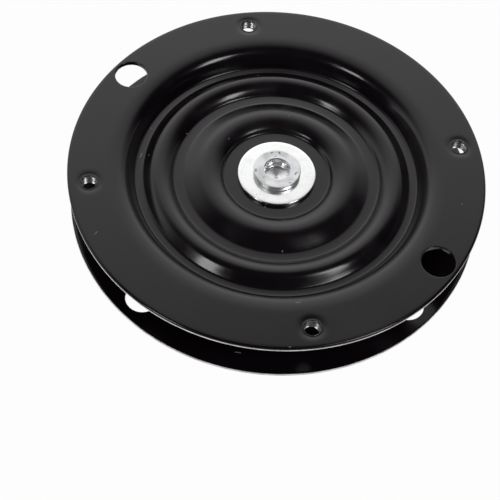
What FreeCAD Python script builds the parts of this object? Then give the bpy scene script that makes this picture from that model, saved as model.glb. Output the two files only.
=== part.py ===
"""Lazy susan bearing: two dished steel plates that turn on a ring of balls round a riveted pivot.

The frame's origin is the centre of the face that the bottom plate rests on, with +Z up along the
axis of turning. Lengths are in millimetres and angles in degrees. Both plates come from one
forming die, so one function draws them, each from its mounting face inwards, and the top plate is
then turned over. They differ in the holes pierced through them.
"""
import FreeCAD, Part
import math
import os
from types import SimpleNamespace

import Sketcher

# Driving dimensions
SIZES = {
    "total_height": 26.0,
    "plate_gap": 4.0,
    "sheet_thickness": 2.0,
    "shank_radius": 6.0,
    "shank_clearance": 0.05,
    "bush_wall": 2.0,
    "bush_clearance": 0.05,
    "running_gap": 0.1,
    "washer_radius": 18.5,
    "washer_bore_clearance": 0.5,
    "washer_thickness": 2.0,
    "washer_margin": 7.65,
    "dome_rise": 4.2,
    "dome_inner_radius": 10.2,
    "dome_outer_radius": 15.2,
    "inner_land": 5.046,
    "ball_diameter": 11.1,
    "ball_count": 14,
    "race_conformity": 1.8,
    "race_clearance": 0.05,
    "valley_width": 3.45,
    "roll_radius": 13.0,
    "flange_width": 19.5,
    "rim_break": 1.0,
    "cage_inner_web": 3.0,
    "cage_outer_web": 2.95,
    "cage_thickness": 2.4,
    "cage_edge_break": 0.5,
    "pocket_clearance": 0.2,
    "screw_rim_distance": 10.0,
    "screw_count": 4,
    "thread_bore_radius": 3.4,
    "collar_wall": 1.2,
    "collar_drop": 4.0,
    "collar_lip": 1.3,
    "collar_root": 0.8,
    "access_hole_radius": 8.0,
    "access_rim_land": 2.0,
    "access_count": 2,
    "access_phase": 45.0,
    "clearance_hole_radius": 8.0,
    "clearance_rim_land": 4.5,
    "clearance_count": 4,
    "pierced_edge_break": 0.4,
    "base_turn": 35.8,
    "edge_break": 0.3,
    "formed_head_overhang": 5.4,
    "formed_head_height": 3.0,
    "socket_wall": 0.85,
    "socket_chamfer": 1.2,
    "socket_depth": 6.0,
    "socket_tip_depth": 2.2,
    "factory_head_overhang": 5.0,
    "factory_head_height": 3.2,
    "factory_head_round": 1.4,
}


class Size:
    """A value together with the sheet expression that gives it."""

    def __init__(self, value, text):
        self.value = float(value)
        self.text = text

    @staticmethod
    def of(other):
        """Take a size as it is, and a plain number as a fixed size."""
        return other if isinstance(other, Size) else Size(other, str(other))

    def __add__(self, other):
        other = Size.of(other)
        return Size(self.value + other.value, f"({self.text} + {other.text})")

    def __sub__(self, other):
        other = Size.of(other)
        return Size(self.value - other.value, f"({self.text} - {other.text})")

    def __mul__(self, other):
        other = Size.of(other)
        return Size(self.value * other.value, f"({self.text} * {other.text})")

    def __truediv__(self, other):
        other = Size.of(other)
        return Size(self.value / other.value, f"({self.text} / {other.text})")


def half_chord(radius, height):
    """Give half the chord that a line cuts from a circle, at a height from its centre."""
    square = radius * radius - height * height
    return Size(math.sqrt(square.value), f"sqrt({square.text})")


ZERO = Size(0, "0")

doc = FreeCAD.newDocument("lazy_susan_bearing")
sheet = doc.addObject("Spreadsheet::Sheet", "Sizes")
for row, (alias, number) in enumerate(SIZES.items(), start=1):
    sheet.set(f"A{row}", alias)
    sheet.set(f"B{row}", str(number))
    sheet.setAlias(f"B{row}", alias)
doc.recompute()

dim = SimpleNamespace(**{alias: Size(sheet.get(alias), f"Sizes.{alias}") for alias in SIZES})
sub_parts = []


def add_sub_part(kind, name):
    """Start a sub-part whose label names its file."""
    sub_part = doc.addObject(kind, name)
    sub_part.Label = name
    sub_parts.append(sub_part)
    return sub_part


def origin_feature(body, role):
    """Find one of a body's own origin planes or axes."""
    return next(item for item in body.Origin.OriginFeatures if item.Role == role)


class Outline:
    """A sketch outline drawn point by point, with each point and radius bound to the sheet."""

    def __init__(self, body, name, plane="XZ_Plane", turn=None):
        self.sketch = body.newObject("Sketcher::SketchObject", name)
        self.sketch.AttachmentSupport = [(origin_feature(body, plane), "")]
        self.sketch.MapMode = "FlatFace"
        if turn:
            rotation = FreeCAD.Rotation(FreeCAD.Vector(0, 1, 0), turn.value)
            self.sketch.AttachmentOffset = FreeCAD.Placement(FreeCAD.Vector(), rotation)
            self.sketch.setExpression("AttachmentOffset.Rotation.Angle", turn.text)
        self.ends = []
        self.points = []

    def start(self, x, y):
        """Set the outline's first point."""
        self.points.append((x, y))
        return self

    def line_to(self, x, y):
        """Draw a straight edge to a point."""
        begin = self._vector(*self.points[-1])
        number = self.sketch.addGeometry(Part.LineSegment(begin, self._vector(x, y)), False)
        return self._record(number, 1, 2, x, y)

    def arc_to(self, x, y, radius, left=True):
        """Draw an arc under half a turn to a point, with its centre left or right of the way."""
        begin = self._vector(*self.points[-1])
        chord = self._vector(x, y) - begin
        side = FreeCAD.Vector(-chord.y, chord.x, 0).normalize()
        reach = math.sqrt(max(radius.value ** 2 - (chord.Length / 2) ** 2, 0.0))
        centre = begin + chord * 0.5 + side * (reach if left else -reach)
        angles = [math.atan2(p.y - centre.y, p.x - centre.x) for p in (begin, begin + chord)]
        if not left:
            angles.reverse()
        circle = Part.Circle(centre, FreeCAD.Vector(0, 0, 1), radius.value)
        number = self.sketch.addGeometry(Part.ArcOfCircle(circle, *angles), False)
        self._bind(Sketcher.Constraint("Radius", number, radius.value), radius)
        tail, head = (1, 2) if left else (2, 1)
        return self._record(number, tail, head, x, y)

    def close(self):
        """Join the edges in turn, the last to the first, and bind every point."""
        for (geometry, _, head), (following, tail, _) in zip(
                self.ends, self.ends[1:] + self.ends[:1]):
            self.sketch.addConstraint(
                Sketcher.Constraint("Coincident", geometry, head, following, tail))
        for (geometry, tail, _), point in zip(self.ends, self.points):
            self._pin(geometry, tail, *point)
        return self

    def circle(self, x, y, radius):
        """Draw a whole circle."""
        curve = Part.Circle(self._vector(x, y), FreeCAD.Vector(0, 0, 1), radius.value)
        number = self.sketch.addGeometry(curve, False)
        self._bind(Sketcher.Constraint("Radius", number, radius.value), radius)
        self._pin(number, 3, x, y)
        return self

    def axis(self, x, length):
        """Draw an upright construction line to turn the outline about."""
        line = Part.LineSegment(self._vector(x, ZERO), self._vector(x, length))
        number = self.sketch.addGeometry(line, True)
        self._pin(number, 1, x, ZERO)
        self._pin(number, 2, x, length)
        return self

    def _record(self, number, tail, head, x, y):
        self.ends.append((number, tail, head))
        self.points.append((x, y))
        return self

    def _pin(self, geometry, point, x, y):
        # A sketch counts its own X axis, which starts at its origin, as edge -1, and its Y axis as -2
        for kind, axis, place in (("DistanceX", -2, x), ("DistanceY", -1, y)):
            if place is ZERO:
                self.sketch.addConstraint(
                    Sketcher.Constraint("PointOnObject", geometry, point, axis))
            else:
                constraint = Sketcher.Constraint(kind, -1, 1, geometry, point, place.value)
                self._bind(constraint, place)

    def _bind(self, constraint, value):
        number = self.sketch.addConstraint(constraint)
        self.sketch.setExpression(f"Constraints[{number}]", value.text)

    @staticmethod
    def _vector(x, y):
        return FreeCAD.Vector(x.value, y.value, 0)


def revolve(body, name, outline, kind="Revolution", axis="V_Axis"):
    """Turn an outline about an upright axis, to add or to cut."""
    feature = body.newObject(f"PartDesign::{kind}", name)
    feature.Profile = (outline.sketch, [""])
    feature.ReferenceAxis = (outline.sketch, [axis])
    feature.Angle = 360
    return feature


def cut_through(body, name, outline):
    """Cut a flat outline right through a body."""
    feature = body.newObject("PartDesign::Pocket", name)
    feature.Profile = (outline.sketch, [""])
    feature.Type = "ThroughAll"
    feature.Midplane = True
    return feature


def repeat_round(body, name, features, count):
    """Repeat features evenly round the body's upright axis."""
    pattern = body.newObject("PartDesign::PolarPattern", name)
    pattern.Originals = features
    pattern.Axis = (origin_feature(body, "Z_Axis"), [""])
    pattern.Angle = 360
    pattern.Occurrences = int(count.value)
    pattern.setExpression("Occurrences", count.text)
    body.Tip = pattern
    return pattern


def turned_part(name, corners):
    """Make a sub-part by turning straight-sided corners about the bearing's axis."""
    body = add_sub_part("PartDesign::Body", name)
    outline = Outline(body, f"{name}_outline").start(*corners[0])
    for corner in corners[1:] + corners[:1]:
        outline.line_to(*corner)
    outline.close()
    revolve(body, f"{name}_turned", outline)
    return body


# Levels, from the face that the bottom plate rests on
middle = dim.total_height / 2
dish_depth = middle - dim.plate_gap / 2 - dim.sheet_thickness
lower_hub_top = dish_depth + dim.sheet_thickness
upper_hub_top = dim.total_height - dish_depth
upper_washer_under = upper_hub_top + dim.running_gap
upper_washer_top = upper_washer_under + dim.washer_thickness
lower_washer_under = dish_depth - dim.washer_thickness

# Centres of the pressed arcs, above the plate's mounting face
ball_radius = dim.ball_diameter / 2
race_radius = ball_radius + dim.race_conformity
race_height = middle - ball_radius - dim.race_clearance + race_radius
crest_depth = dish_depth - dim.dome_rise
dome_inner_height = crest_depth + dim.dome_inner_radius
dome_outer_height = crest_depth + dim.dome_outer_radius

# Radii, where each pressed form starts at the end of the one inside it
bush_radius = dim.shank_radius + dim.bush_wall
dome_crest_radius = (dim.washer_radius + dim.washer_margin
                     + half_chord(dim.dome_inner_radius, dome_inner_height - dish_depth))
dome_foot_radius = dome_crest_radius + half_chord(dim.dome_outer_radius,
                                                  dome_outer_height - dish_depth)
bead_reach = half_chord(race_radius + dim.sheet_thickness, race_height - dish_depth)
race_pitch_radius = dome_foot_radius + dim.inner_land + bead_reach
flange_flat_radius = (race_pitch_radius + bead_reach + dim.valley_width
                      + half_chord(dim.roll_radius, dim.roll_radius - dish_depth))
rim_radius = flange_flat_radius + dim.flange_width


def skin_points(offset):
    """Find the points where one skin of the pressed sheet changes form, from hub to flange.

    The offset is nought on the mounting side and the sheet's thickness on the inner side. All the
    arcs of the two skins share their centres, so the sheet keeps its thickness round each bend.
    """
    level = dish_depth + offset
    inner_skin = dim.dome_inner_radius - offset
    outer_skin = dim.dome_outer_radius - offset
    race_skin = race_radius + dim.sheet_thickness - offset
    race_reach = half_chord(race_skin, race_height - level)
    roll_skin = dim.roll_radius - offset
    return SimpleNamespace(
        offset=offset,
        level=level,
        dome_start=dome_crest_radius - half_chord(inner_skin, dome_inner_height - level),
        crest_level=crest_depth + offset,
        dome_end=dome_crest_radius + half_chord(outer_skin, dome_outer_height - level),
        dome_inner_skin=inner_skin,
        dome_outer_skin=outer_skin,
        race_start=race_pitch_radius - race_reach,
        race_end=race_pitch_radius + race_reach,
        race_skin=race_skin,
        roll_start=flange_flat_radius - half_chord(roll_skin, dim.roll_radius - level),
        roll_skin=roll_skin,
    )


def pressed_plate(name, hub_bore):
    """Press one dished plate, with its hub, dome, ball race, valley and flat flange."""
    body = add_sub_part("PartDesign::Body", name)
    face = skin_points(ZERO)
    inside = skin_points(dim.sheet_thickness)
    outline = Outline(body, f"{name}_section")
    outline.start(hub_bore, face.level)
    outline.line_to(face.dome_start, face.level)
    outline.arc_to(dome_crest_radius, face.crest_level, face.dome_inner_skin)
    outline.arc_to(face.dome_end, face.level, face.dome_outer_skin)
    outline.line_to(face.race_start, face.level)
    outline.arc_to(face.race_end, face.level, face.race_skin)
    outline.line_to(face.roll_start, face.level)
    outline.arc_to(flange_flat_radius, ZERO, face.roll_skin)
    outline.line_to(rim_radius - dim.rim_break, ZERO)
    outline.line_to(rim_radius, dim.rim_break)
    outline.line_to(rim_radius, inside.offset)
    outline.line_to(flange_flat_radius, inside.offset)
    outline.arc_to(inside.roll_start, inside.level, inside.roll_skin, left=False)
    outline.line_to(inside.race_end, inside.level)
    outline.arc_to(inside.race_start, inside.level, inside.race_skin, left=False)
    outline.line_to(inside.dome_end, inside.level)
    outline.arc_to(dome_crest_radius, inside.crest_level, inside.dome_outer_skin, left=False)
    outline.arc_to(inside.dome_start, inside.level, inside.dome_inner_skin, left=False)
    outline.line_to(hub_bore, inside.level)
    outline.line_to(hub_bore, face.level)
    outline.close()
    revolve(body, f"{name}_pressing", outline)
    return body


def pierce(body, name, circle_radius, hole_radius, count, turn=None):
    """Pierce round holes through the flange, each with its edge broken on the mounting face."""
    edge = dim.pierced_edge_break
    wall = circle_radius + hole_radius
    reach = dim.sheet_thickness * 2
    outline = Outline(body, f"{name}_outline", turn=turn)
    outline.start(circle_radius, ZERO)
    outline.line_to(wall + edge, ZERO)
    outline.line_to(wall, edge)
    outline.line_to(wall, reach)
    outline.line_to(circle_radius, reach)
    outline.line_to(circle_radius, ZERO)
    outline.close()
    outline.axis(circle_radius, reach)
    hole = revolve(body, f"{name}_hole", outline, kind="Groove", axis="Axis0")
    return repeat_round(body, f"{name}_holes", [hole], count)


def draw_collars(body):
    """Draw the screw holes inwards into collars, with a rounded mouth and a bore for the thread."""
    axis_radius = rim_radius - dim.screw_rim_distance
    bore = axis_radius + dim.thread_bore_radius
    outside = bore + dim.collar_wall
    tip = dim.sheet_thickness + dim.collar_drop
    root = dim.collar_root
    collar = Outline(body, "collar_outline")
    collar.start(axis_radius, dim.collar_lip)
    collar.line_to(outside + root, dim.collar_lip)
    collar.line_to(outside + root, dim.sheet_thickness)
    collar.line_to(outside, dim.sheet_thickness + root)
    collar.line_to(outside, tip - dim.edge_break)
    collar.line_to(outside - dim.edge_break, tip)
    collar.line_to(axis_radius, tip)
    collar.line_to(axis_radius, dim.collar_lip)
    collar.close()
    collar.axis(axis_radius, tip)
    drawn = revolve(body, "collar_drawn", collar, axis="Axis0")
    mouth = Outline(body, "collar_bore_outline")
    mouth.start(axis_radius, ZERO)
    mouth.line_to(bore + dim.collar_lip, ZERO)
    mouth.arc_to(bore, dim.collar_lip, dim.collar_lip)
    mouth.line_to(bore, tip)
    mouth.line_to(axis_radius, tip)
    mouth.line_to(axis_radius, ZERO)
    mouth.close()
    mouth.axis(axis_radius, tip)
    bored = revolve(body, "collar_bore", mouth, kind="Groove", axis="Axis0")
    return repeat_round(body, "collars", [drawn, bored], dim.screw_count)


# Bottom plate, turned a little from the top one, as the bearing was left
bottom_plate = pressed_plate("bottom_plate", dim.shank_radius + dim.shank_clearance)
pierce(bottom_plate, "clearance", rim_radius - dim.clearance_rim_land - dim.clearance_hole_radius,
       dim.clearance_hole_radius, dim.clearance_count)
bottom_plate.setExpression("Placement.Rotation.Angle", dim.base_turn.text)

# Top plate, the same pressing turned over
top_plate = pressed_plate("top_plate", bush_radius + dim.bush_clearance)
draw_collars(top_plate)
pierce(top_plate, "access", rim_radius - dim.access_rim_land - dim.access_hole_radius,
       dim.access_hole_radius, dim.access_count, turn=dim.access_phase)
turned_over = FreeCAD.Rotation(FreeCAD.Vector(1, 0, 0), 180)
top_plate.Placement = FreeCAD.Placement(
    FreeCAD.Vector(0, 0, dim.total_height.value), turned_over)
top_plate.setExpression("Placement.Base.z", dim.total_height.text)

# Ball cage, a flat ring midway between the plates
cage = add_sub_part("PartDesign::Body", "ball_cage")
cage_under = middle - dim.cage_thickness / 2
cage_top = middle + dim.cage_thickness / 2
pocket_radius = ball_radius + dim.pocket_clearance
cage_inner_radius = race_pitch_radius - pocket_radius - dim.cage_inner_web
cage_outer_radius = race_pitch_radius + pocket_radius + dim.cage_outer_web
corner = dim.cage_edge_break
ring = Outline(cage, "cage_section")
ring.start(cage_inner_radius + corner, cage_under)
ring.line_to(cage_outer_radius - corner, cage_under)
ring.line_to(cage_outer_radius, cage_under + corner)
ring.line_to(cage_outer_radius, cage_top - corner)
ring.line_to(cage_outer_radius - corner, cage_top)
ring.line_to(cage_inner_radius + corner, cage_top)
ring.line_to(cage_inner_radius, cage_top - corner)
ring.line_to(cage_inner_radius, cage_under + corner)
ring.line_to(cage_inner_radius + corner, cage_under)
ring.close()
revolve(cage, "cage_ring", ring)
pocket_outline = Outline(cage, "pocket_outline", plane="XY_Plane")
pocket_outline.circle(race_pitch_radius, ZERO, pocket_radius)
pocket = cut_through(cage, "ball_pocket", pocket_outline)
repeat_round(cage, "ball_pockets", [pocket], dim.ball_count)

# Balls, one in each pocket
for index in range(int(dim.ball_count.value)):
    ball = add_sub_part("Part::Sphere", f"ball_{index + 1:02d}")
    ball.setExpression("Radius", ball_radius.text)
    angle = f"360 * {index} / {dim.ball_count.text}"
    ball.setExpression("Placement.Base.x", f"{race_pitch_radius.text} * cos({angle})")
    ball.setExpression("Placement.Base.y", f"{race_pitch_radius.text} * sin({angle})")
    ball.setExpression("Placement.Base.z", middle.text)

# Pivot bush, which stands on the lower hub and carries the upper washer just clear of the top plate
bush_bore = dim.shank_radius + dim.shank_clearance
turned_part("pivot_bush", [
    (bush_bore, lower_hub_top),
    (bush_radius, lower_hub_top),
    (bush_radius, upper_washer_under - dim.edge_break),
    (bush_radius - dim.edge_break, upper_washer_under),
    (bush_bore, upper_washer_under),
])


def washer(name, under):
    """Make a wide flat washer with broken edges."""
    top = under + dim.washer_thickness
    bore = dim.shank_radius + dim.washer_bore_clearance
    turned_part(name, [
        (bore, under),
        (dim.washer_radius - dim.edge_break, under),
        (dim.washer_radius, under + dim.edge_break),
        (dim.washer_radius, top - dim.edge_break),
        (dim.washer_radius - dim.edge_break, top),
        (bore, top),
    ])


washer("bottom_washer", lower_washer_under)
washer("top_washer", upper_washer_under)

# Pivot rivet, with a factory head below and a head formed round a drilled socket above
head_top = upper_washer_top + dim.formed_head_height
head_foot = lower_washer_under - dim.factory_head_height
formed_head_radius = dim.shank_radius + dim.formed_head_overhang
factory_head_radius = dim.shank_radius + dim.factory_head_overhang
socket_radius = dim.shank_radius - dim.socket_wall
mouth_radius = socket_radius + dim.socket_chamfer
mouth_floor = head_top - dim.socket_chamfer
socket_floor = head_top - dim.socket_depth
rivet = add_sub_part("PartDesign::Body", "pivot_rivet")
rivet_outline = Outline(rivet, "rivet_outline")
rivet_outline.start(ZERO, head_foot)
rivet_outline.line_to(factory_head_radius - dim.factory_head_round, head_foot)
rivet_outline.arc_to(factory_head_radius, head_foot + dim.factory_head_round,
                     dim.factory_head_round)
rivet_outline.line_to(factory_head_radius, lower_washer_under)
rivet_outline.line_to(dim.shank_radius, lower_washer_under)
rivet_outline.line_to(dim.shank_radius, upper_washer_top)
rivet_outline.line_to(formed_head_radius, upper_washer_top)
rivet_outline.line_to(formed_head_radius, head_top - dim.edge_break)
rivet_outline.line_to(formed_head_radius - dim.edge_break, head_top)
rivet_outline.line_to(mouth_radius, head_top)
rivet_outline.line_to(socket_radius, mouth_floor)
rivet_outline.line_to(socket_radius, socket_floor)
rivet_outline.line_to(ZERO, socket_floor - dim.socket_tip_depth)
rivet_outline.line_to(ZERO, head_foot)
rivet_outline.close()
revolve(rivet, "rivet_turned", rivet_outline)

# Checks, then one file for each sub-part
doc.recompute()
for item in doc.Objects:
    if "Invalid" in item.State or "Error" in item.State:
        raise RuntimeError(f"{item.Label} did not recompute")
for body, cut in ((bottom_plate, "clearance_holes"), (top_plate, "access_holes"),
                  (cage, "ball_pockets")):
    uncut = doc.getObject(cut).Originals[0].BaseFeature
    if body.Shape.Volume >= uncut.Shape.Volume:
        raise RuntimeError(f"{cut} cut nothing from {body.Label}")
os.makedirs("parts", exist_ok=True)
for sub_part in sub_parts:
    shape = sub_part.Shape
    if shape.isNull() or not shape.isValid():
        raise RuntimeError(f"{sub_part.Label} has no valid shape")
    shape.exportStep(f"parts/{sub_part.Label}.step")
    box = shape.BoundBox
    print(f"{sub_part.Label}: {len(shape.Solids)} solid, {shape.Volume:.0f} mm3, "
          f"z {box.ZMin:.2f} to {box.ZMax:.2f}")
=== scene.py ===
"""Dresses the lazy susan bearing: its pressed plates, ball ring and pivot, in a plain pale studio.

The pieces are worked out in millimetres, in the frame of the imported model: +Z runs up the axis of
turning, and z = 0 is the face that the bottom plate stands on. Each plate is drawn by its depth
from its own mounting face, because one die presses both and the top one is turned over.
"""
from __future__ import annotations

import logging
import math
from dataclasses import dataclass
from enum import Enum, IntEnum

import bmesh
import bpy
import numpy as np
from mathutils import Matrix, Vector


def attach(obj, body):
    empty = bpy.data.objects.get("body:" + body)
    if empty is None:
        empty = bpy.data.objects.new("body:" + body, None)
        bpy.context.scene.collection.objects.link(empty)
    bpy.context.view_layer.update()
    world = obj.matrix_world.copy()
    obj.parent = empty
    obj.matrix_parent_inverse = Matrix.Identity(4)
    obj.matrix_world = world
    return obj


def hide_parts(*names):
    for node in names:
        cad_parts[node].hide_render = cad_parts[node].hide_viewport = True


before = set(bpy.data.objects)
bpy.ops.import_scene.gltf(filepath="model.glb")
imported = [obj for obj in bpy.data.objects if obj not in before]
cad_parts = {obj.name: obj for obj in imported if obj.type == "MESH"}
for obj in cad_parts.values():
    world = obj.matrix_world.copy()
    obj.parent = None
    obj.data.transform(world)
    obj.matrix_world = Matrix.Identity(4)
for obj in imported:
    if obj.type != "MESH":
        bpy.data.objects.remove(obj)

log = logging.getLogger("lazy_susan")

MM = 0.001
FULL_TURN = 2 * math.pi
ORIGIN = (0.0, 0.0, 0.0)
FLATTEN = (1.0, 1.0, 0.0)
WHITE = (1.0, 1.0, 1.0, 1.0)

# Points nearer than the first of these are one, and shorter edges than the second are dropped
SAME_POINT = 0.002
SLIVER = 0.0005

# A line stops at least this far short of the seam that it is carried on to
SEAM_GAP = 0.01

# Edges that turn more than this stay sharp
SHARP_DEGREES = 38.0

Colour = tuple[float, float, float, float]


class Side(Enum):
    """Which way a plate's mounting face looks."""

    UP = "up"
    DOWN = "down"


class HoleKind(Enum):
    """How a hole is made in the flange."""

    DRAWN = "drawn inwards into a threaded collar"
    PIERCED = "pierced plain"


class MetalGrain(Enum):
    """What the making has left on a bare metal."""

    TURNED = "rings from the lathe"
    TUMBLED = "soft dents from the plating drum"
    SHEARED = "upright streaks from the shear"
    POLISHED = "hardly anything"


class PlateFinish(IntEnum):
    """The place of each finish in a plate's list."""

    ENAMEL = 0
    SHEARED = 1
    THREAD = 2


# Grids of points


@dataclass
class Patch:
    """A surface as a grid of points.

    Args:
        points: The grid, as rows by columns by three, in millimetres.
        round_columns: Whether the last column joins the first.
        finish: The place of its material on the piece.
        wear: How worn each row is, from 0 to 1.
    """

    points: np.ndarray
    round_columns: bool = True
    finish: int = 0
    wear: np.ndarray | float = 0.0

    def quads(self) -> np.ndarray:
        """Number the corners of the grid's faces.

        Returns:
            The four corners of each cell in turn, as n by four.
        """
        rows, columns = self.points.shape[:2]
        number = np.arange(rows * columns).reshape(rows, columns)
        if self.round_columns:
            number = np.hstack([number, number[:, :1]])
        return np.stack([number[:-1, :-1], number[:-1, 1:], number[1:, 1:], number[1:, :-1]],
                        axis=-1).reshape(-1, 4)

    def wear_values(self) -> np.ndarray:
        """Give the wear of every point of the grid."""
        by_row = np.broadcast_to(np.asarray(self.wear, float), self.points.shape[:1])
        return np.repeat(by_row, self.points.shape[1])


def polar(radius: np.ndarray | float, angle: np.ndarray | float,
          *heights: np.ndarray | float) -> np.ndarray:
    """Place points by radius and angle: the radius times the angle's cosine and sine.

    Args:
        radius: Their distances from the axis.
        angle: Their angles round the axis, in radians.
        heights: Their heights, left out for points in a plane.

    Returns:
        The points: the grid that the values make together, by two or three.
    """
    return np.stack(np.broadcast_arrays(radius * np.cos(angle), radius * np.sin(angle), *heights),
                    axis=-1)


def arc(centre: tuple[float, float], radius: float, start: float, end: float,
        count: int = 60) -> np.ndarray:
    """Sample an arc: its centre plus its radius at evenly stepped angles.

    Args:
        centre: The centre's two coordinates.
        radius: The arc's radius.
        start: The first angle, in radians.
        end: The last angle, in radians.
        count: How many points.

    Returns:
        The points, as count by two.
    """
    return np.asarray(centre) + polar(radius, np.linspace(start, end, count))


def window_border(radii: np.ndarray, angles: np.ndarray) -> np.ndarray:
    """Find the border of a window in a polar grid.

    It runs along the inner arc, out at the last angle, back along the outer arc and in at the first
    angle.

    Args:
        radii: The radii of the window's rows.
        angles: The angles of its columns, in radians.

    Returns:
        The border's points, in the grid's plane.
    """
    along, out = np.ones(len(angles) - 1), np.ones(len(radii) - 1)
    radius = np.concatenate([radii[0] * along, radii[:-1], radii[-1] * along, radii[:0:-1]])
    angle = np.concatenate([angles[:-1], angles[-1] * out, angles[:0:-1], angles[0] * out])
    return polar(radius, angle)


def lengths_along(line: np.ndarray) -> np.ndarray:
    """Give the length of a line up to each of its points."""
    return np.concatenate([[0.0], np.cumsum(np.hypot(*np.diff(line, axis=0).T))])


def points_at(line: np.ndarray, measure: np.ndarray, places: np.ndarray) -> np.ndarray:
    """Find points on a line, between its own.

    Args:
        line: The line's points, as n by two.
        measure: What grows along the line, at each of its points.
        places: How much of that each wanted point has.

    Returns:
        The wanted points.
    """
    return np.stack([np.interp(places, measure, column) for column in line.T], axis=1)


def resample(line: np.ndarray, step: float) -> np.ndarray:
    """Put points at even steps of length along a line.

    Args:
        line: Its points.
        step: The length of a step.

    Returns:
        The new points.
    """
    length = lengths_along(line)
    places = np.linspace(0.0, length[-1], max(int(length[-1] / step), 2) + 1)
    return points_at(line, length, places)


def split_long_edges(line: np.ndarray, longest: float) -> np.ndarray:
    """Add points to the long edges of a line and keep its own corners.

    Args:
        line: Its points.
        longest: The longest edge that is left whole.

    Returns:
        The line with the added points.
    """
    length = lengths_along(line)
    count = np.maximum(np.ceil(np.diff(length) / longest).astype(int), 1)
    added = [np.linspace(low, high, parts, endpoint=False)
             for low, high, parts in zip(length[:-1], length[1:], count)]
    return points_at(line, length, np.concatenate(added + [length[-1:]]))


def ease_creases(line: np.ndarray, window: float, step: float = 0.04) -> np.ndarray:
    """Give each crease of a line a small radius, by averaging every point over a short length.

    The ends are run on straight before the average, so that they stay where they are.

    Args:
        line: The line's points, as n by two.
        window: The length averaged over, in millimetres.
        step: The spacing of the points that are averaged.

    Returns:
        The eased line, finely sampled.
    """
    fine = resample(line, step)
    reach = max(int(window / step / 2), 1)
    count = np.arange(1, reach + 1)[:, None]
    before = fine[0] - count[::-1] * (fine[1] - fine[0])
    after = fine[-1] + count * (fine[-1] - fine[-2])
    padded = np.vstack([before, fine, after])
    kernel = np.ones(2 * reach + 1) / (2 * reach + 1)
    eased = np.stack([np.convolve(column, kernel, mode="valid") for column in padded.T], axis=1)
    eased[[0, -1]] = line[[0, -1]]
    return eased


def pick_rows(line: np.ndarray, longest: float, turn_degrees: float) -> np.ndarray:
    """Keep the points of a fine line that the grid's rows need.

    Rows are spaced evenly along the sum of two measures: length over the longest step, and turning
    over the largest turn. So they lie close together in a bend and far apart on a flat.

    Args:
        line: The finely sampled line.
        longest: The longest step on a flat, in millimetres.
        turn_degrees: The largest turn between two rows in a bend.

    Returns:
        The points at the rows.
    """
    way = np.diff(line, axis=0)
    heading = np.unwrap(np.arctan2(way[:, 1], way[:, 0]))
    turning = np.abs(np.diff(heading, append=heading[-1]))
    measure = np.hypot(*way.T) / longest + turning / math.radians(turn_degrees)
    total = np.concatenate([[0.0], np.cumsum(measure)])
    places = np.linspace(0.0, total[-1], int(math.ceil(total[-1])) + 1)
    return points_at(line, total, places)


def lathe(profile: np.ndarray, segments: int) -> np.ndarray:
    """Carry a profile round the upright axis.

    A point is the profile's radius times the cosine and sine of the column's angle, at the
    profile's own height.

    Args:
        profile: Radius and height of each row.
        segments: How many columns go round.

    Returns:
        The grid, as rows by segments by three.
    """
    return polar(profile[:, :1], np.arange(segments) * FULL_TURN / segments, profile[:, 1:])


def close_seams(mesh: bpy.types.Mesh) -> int:
    """Merge the points that borders share, drop slivers and turn every face outwards.

    Args:
        mesh: The mesh to close.

    Returns:
        How many edges are left open.
    """
    shell = bmesh.new()
    shell.from_mesh(mesh)
    bmesh.ops.remove_doubles(shell, verts=shell.verts, dist=SAME_POINT * MM)
    bmesh.ops.dissolve_degenerate(shell, dist=SLIVER * MM, edges=shell.edges)
    bmesh.ops.recalc_face_normals(shell, faces=shell.faces)
    open_edges = sum(1 for edge in shell.edges if not edge.is_manifold)
    shell.to_mesh(mesh)
    shell.free()
    return open_edges


def make_piece(name: str, patches: list[Patch],
               finishes: list[bpy.types.Material]) -> bpy.types.Object:
    """Join patches into one closed piece, with its place in its mesh.

    Args:
        name: The piece's name.
        patches: Its grids, whose borders meet point for point.
        finishes: Its materials, in the order that the patches number them.

    Returns:
        The object, at the origin.
    """
    starts = np.cumsum([0] + [patch.points[..., 0].size for patch in patches])
    points = np.vstack([patch.points.reshape(-1, 3) for patch in patches]) * MM
    quads = np.vstack([patch.quads() + start for patch, start in zip(patches, starts)])
    finish = np.concatenate([np.full(len(patch.quads()), patch.finish) for patch in patches])
    wear = np.concatenate([patch.wear_values() for patch in patches])
    mesh = bpy.data.meshes.new(name)
    mesh.from_pydata(points.tolist(), [], quads.tolist())
    mesh.polygons.foreach_set("material_index", finish.astype(np.int32))
    mesh.attributes.new("wear", "FLOAT", "POINT").data.foreach_set("value", wear.astype(np.float32))
    open_edges = close_seams(mesh)
    for material in finishes:
        mesh.materials.append(material)
    mesh.shade_smooth()
    mesh.set_sharp_from_angle(angle=math.radians(SHARP_DEGREES))
    piece = bpy.data.objects.new(name, mesh)
    bpy.context.scene.collection.objects.link(piece)
    triangles = sum(len(face.vertices) - 2 for face in mesh.polygons)
    log.info("%s: %d triangles, %d open edges", name, triangles, open_edges)
    return piece


# Node trees


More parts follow.
